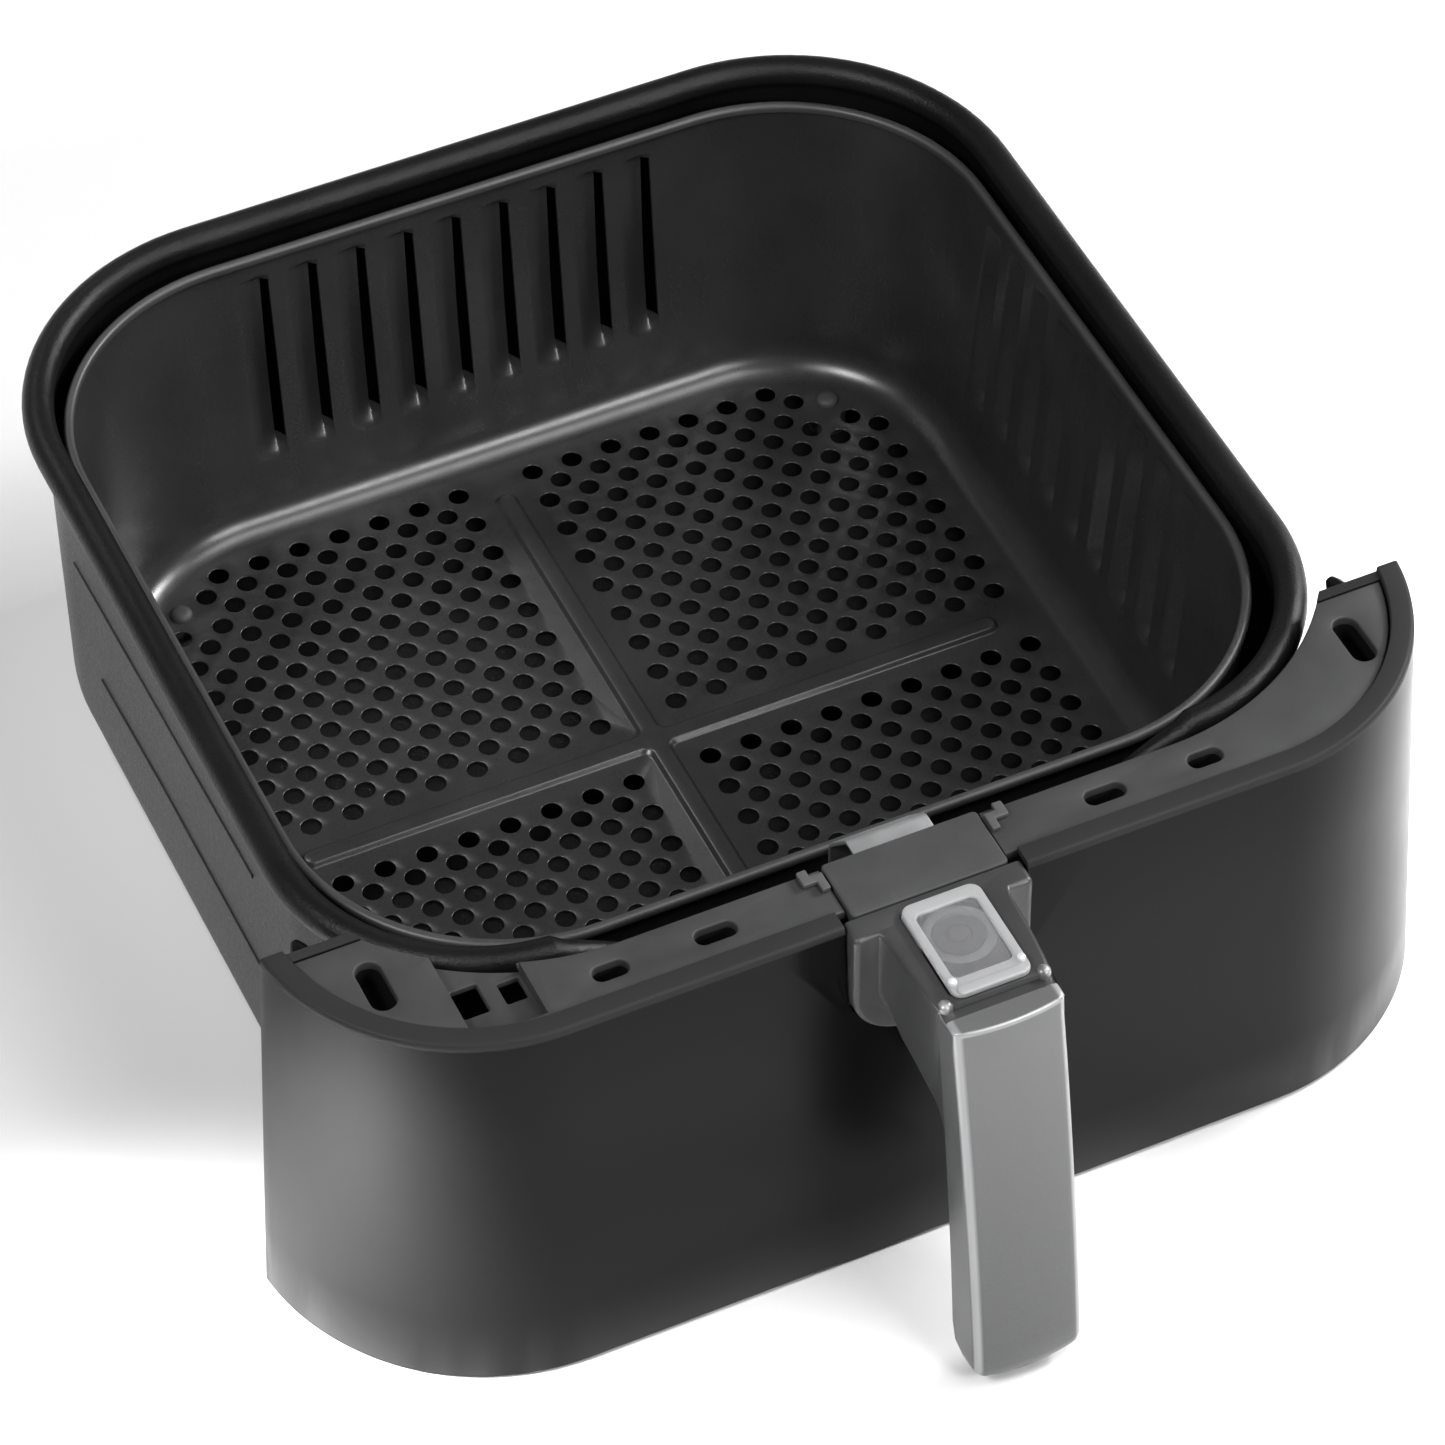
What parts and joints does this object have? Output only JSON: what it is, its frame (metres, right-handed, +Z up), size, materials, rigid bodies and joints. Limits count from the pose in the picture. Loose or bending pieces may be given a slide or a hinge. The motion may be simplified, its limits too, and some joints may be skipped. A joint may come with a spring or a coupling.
{
  "type": "air fryer drawer with lift-out basket",
  "caption": "Air fryer drawer: coated pan with a front fascia, and a perforated basket that lifts out by a handle with a guarded release button.",
  "frame": {"origin": "centre of the pan's flat underside, on the surface that the drawer stands on", "axes": "+Z up, the way the basket lifts out; -Y to the front, where the handle is; +X to the right as seen from the front"},
  "size_m": [0.2956, 0.3346, 0.1125],
  "materials": {
    "pan_coating": "fine-grained black non-stick coating, satin",
    "basket_coating": "smooth dark grey non-stick coating, satin",
    "fascia_plastic": "black moulded plastic, satin",
    "trim_plastic": "dark grey moulded plastic, matt",
    "handle_plastic": "dark grey moulded plastic, satin",
    "panel_paint": "satin metallic grey",
    "button_plastic": "grey moulded plastic, satin",
    "inlay_plastic": "dark moulded plastic, satin",
    "clear_plastic": "clear polycarbonate, polished",
    "silicone": "grey silicone rubber, matt",
    "bare_steel": "pressed stainless steel, rolled",
    "screw_steel": "zinc-plated steel",
    "spring_steel": "drawn spring steel"
  },
  "bodies": {
    "drawer": {"outer_pan": "pan_coating", "front_fascia": "fascia_plastic", "top_trim_right": "trim_plastic", "top_trim_left": "trim_plastic", "retention_clip_left": "trim_plastic", "retention_clip_right": "trim_plastic", "pan_bracket_left": "bare_steel", "pan_bracket_right": "bare_steel", "fascia_screw_1": "screw_steel", "fascia_screw_2": "screw_steel", "fascia_screw_3": "screw_steel", "fascia_screw_4": "screw_steel", "latch_keeper": "bare_steel", "locating_peg_left": "fascia_plastic", "locating_peg_right": "fascia_plastic", "keeper_screw_1": "screw_steel", "keeper_screw_2": "screw_steel"},
    "basket": {"inner_basket": "basket_coating", "basket_foot_1": "silicone", "basket_foot_2": "silicone", "basket_foot_3": "silicone", "basket_foot_4": "silicone", "basket_strap": "bare_steel", "strap_rivet_1": "screw_steel", "strap_rivet_2": "screw_steel", "bracket_cover": "handle_plastic", "handle_body": "handle_plastic", "handle_front_panel": "panel_paint", "handle_screw_1": "screw_steel", "handle_screw_2": "screw_steel", "handle_screw_3": "screw_steel", "handle_screw_4": "screw_steel", "panel_screw_upper": "screw_steel", "panel_screw_lower": "screw_steel", "button_spring": "spring_steel", "latch_pin": "spring_steel", "latch_spring": "spring_steel"},
    "button": {"release_button": "button_plastic", "button_inlay": "inlay_plastic"},
    "guard": {"button_guard": "clear_plastic"},
    "latch": {"latch_lever": "bare_steel"}
  },
  "joints": [
    {"name": "basket_lift", "type": "slide", "parent": "drawer", "child": "basket", "axis": [0, 0, 1], "range_m": [0, 0.115]},
    {"name": "guard_slide", "type": "slide", "parent": "basket", "child": "guard", "axis": [0, -1, 0], "range_m": [0, 0.014]},
    {"name": "button_press", "type": "slide", "parent": "basket", "child": "button", "axis": [0, 0, -1], "range_m": [0, 0.0035], "stiffness_N_per_m": 600, "springref_m": -0.002, "deforming": ["button_spring"]},
    {"name": "latch_release", "type": "hinge", "parent": "basket", "child": "latch", "pos_m": [0, -0.153, 0.095], "axis": [1, 0, 0], "range_deg": [0, 18.5], "stiffness_Nm_per_rad": 0.02, "springref_deg": -11.46}
  ],
  "couplings": [
    {"joint": "latch_release", "follows": "button_press", "rad_per_m": 92}
  ]
}
